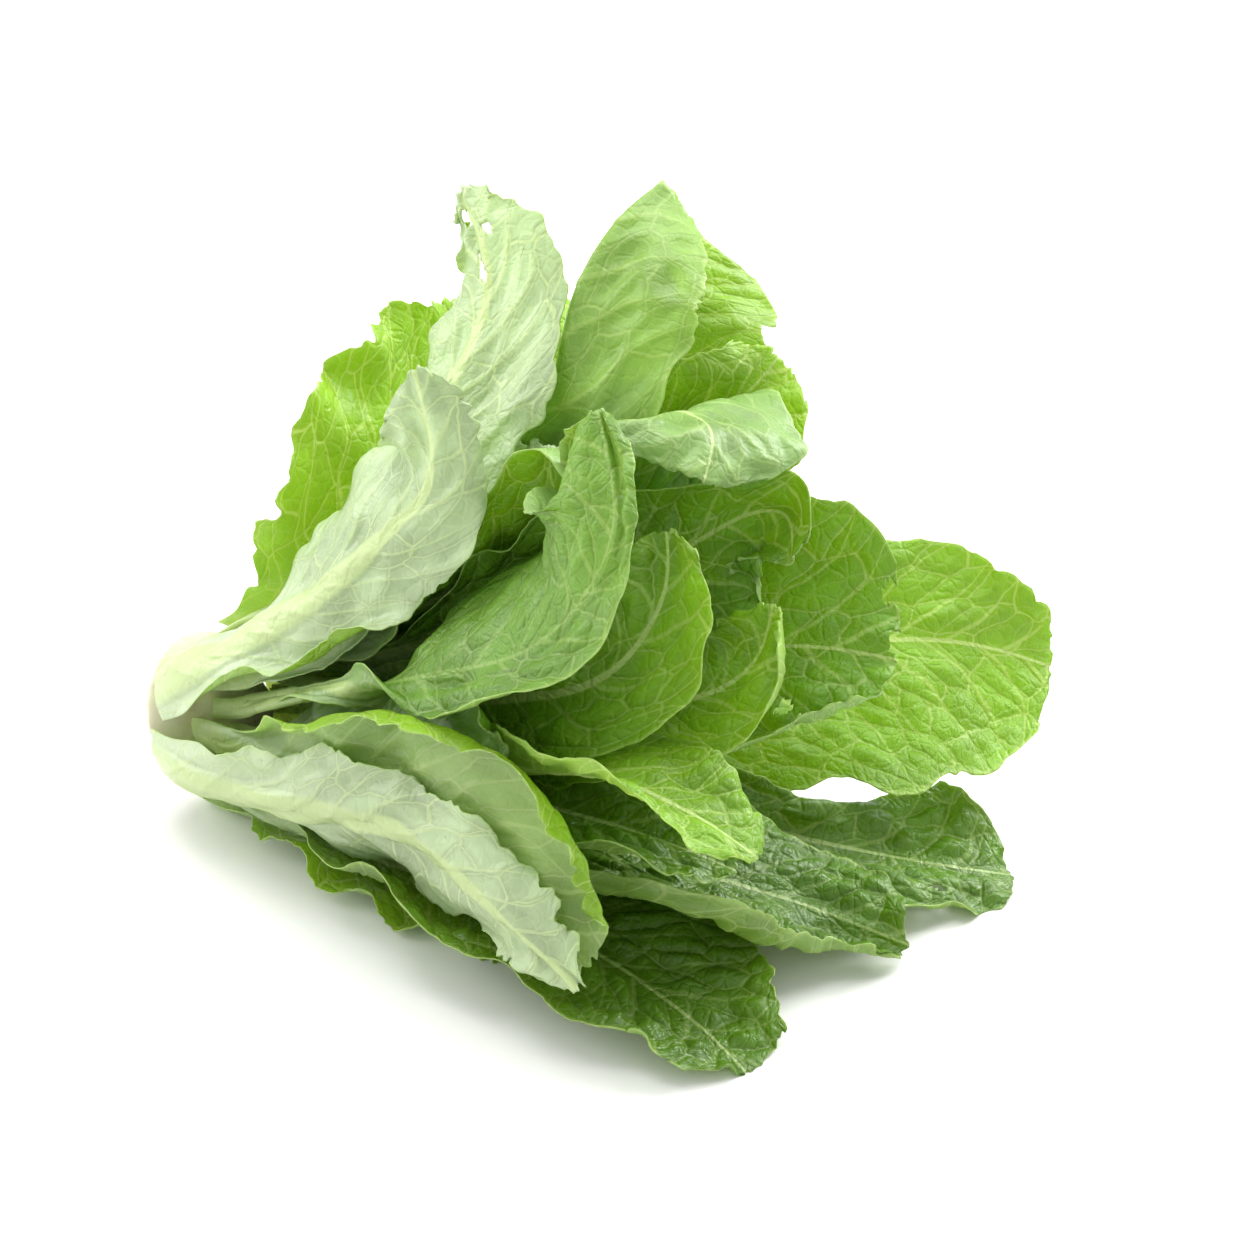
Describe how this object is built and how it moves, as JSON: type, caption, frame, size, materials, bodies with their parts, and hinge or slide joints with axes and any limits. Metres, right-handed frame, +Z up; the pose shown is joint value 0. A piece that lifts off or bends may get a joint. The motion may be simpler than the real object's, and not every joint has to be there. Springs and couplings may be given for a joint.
{
  "type": "romaine lettuce head",
  "caption": "Head of romaine lettuce lying on its side, with long upright leaves fanned open from a cut stem.",
  "frame": {"origin": "on the surface that the head lies on, below the middle of its bounding box", "axes": "+Z up from the surface, +X along the head from its cut stem towards its leaf tips, +Y towards its far side"},
  "size_m": [0.2465, 0.2061, 0.19],
  "materials": {
    "leaf_floor_near": "waxy matte leaf",
    "leaf_back_left": "waxy matte leaf",
    "leaf_near_low": "waxy matte leaf",
    "leaf_right_far": "waxy matte leaf",
    "leaf_near_high": "waxy matte leaf",
    "leaf_floor_far": "waxy matte leaf",
    "leaf_back_high": "waxy matte leaf",
    "leaf_front_low": "waxy matte leaf",
    "leaf_back_middle": "waxy matte leaf",
    "leaf_right_low": "waxy matte leaf",
    "leaf_top_left": "waxy matte leaf",
    "leaf_dark_low": "waxy matte leaf",
    "leaf_top_middle": "waxy matte leaf",
    "leaf_near_inner": "waxy matte leaf",
    "leaf_right_near": "waxy matte leaf",
    "leaf_top_right": "waxy matte leaf",
    "leaf_folded_top": "waxy matte leaf",
    "leaf_torn": "waxy matte leaf",
    "leaf_right_cup": "waxy matte leaf",
    "leaf_folded_near": "waxy matte leaf",
    "leaf_heart_rim": "waxy matte leaf",
    "leaf_heart_low": "waxy matte leaf",
    "leaf_heart_cup": "waxy matte leaf",
    "leaf_heart_small": "waxy matte leaf",
    "leaf_heart_front": "waxy matte leaf",
    "stem_core": "moist cut stem"
  },
  "bodies": {
    "root": {"leaf_floor_near": "leaf_floor_near", "leaf_back_left": "leaf_back_left", "leaf_near_low": "leaf_near_low", "leaf_right_far": "leaf_right_far", "leaf_near_high": "leaf_near_high", "leaf_floor_far": "leaf_floor_far", "leaf_back_high": "leaf_back_high", "leaf_front_low": "leaf_front_low", "leaf_back_middle": "leaf_back_middle", "leaf_right_low": "leaf_right_low", "leaf_top_left": "leaf_top_left", "leaf_dark_low": "leaf_dark_low", "leaf_top_middle": "leaf_top_middle", "leaf_near_inner": "leaf_near_inner", "leaf_right_near": "leaf_right_near", "leaf_top_right": "leaf_top_right", "leaf_folded_top": "leaf_folded_top", "leaf_torn": "leaf_torn", "leaf_right_cup": "leaf_right_cup", "leaf_folded_near": "leaf_folded_near", "leaf_heart_rim": "leaf_heart_rim", "leaf_heart_low": "leaf_heart_low", "leaf_heart_cup": "leaf_heart_cup", "leaf_heart_small": "leaf_heart_small", "leaf_heart_front": "leaf_heart_front", "stem_core": "stem_core"}
  },
  "joints": []
}
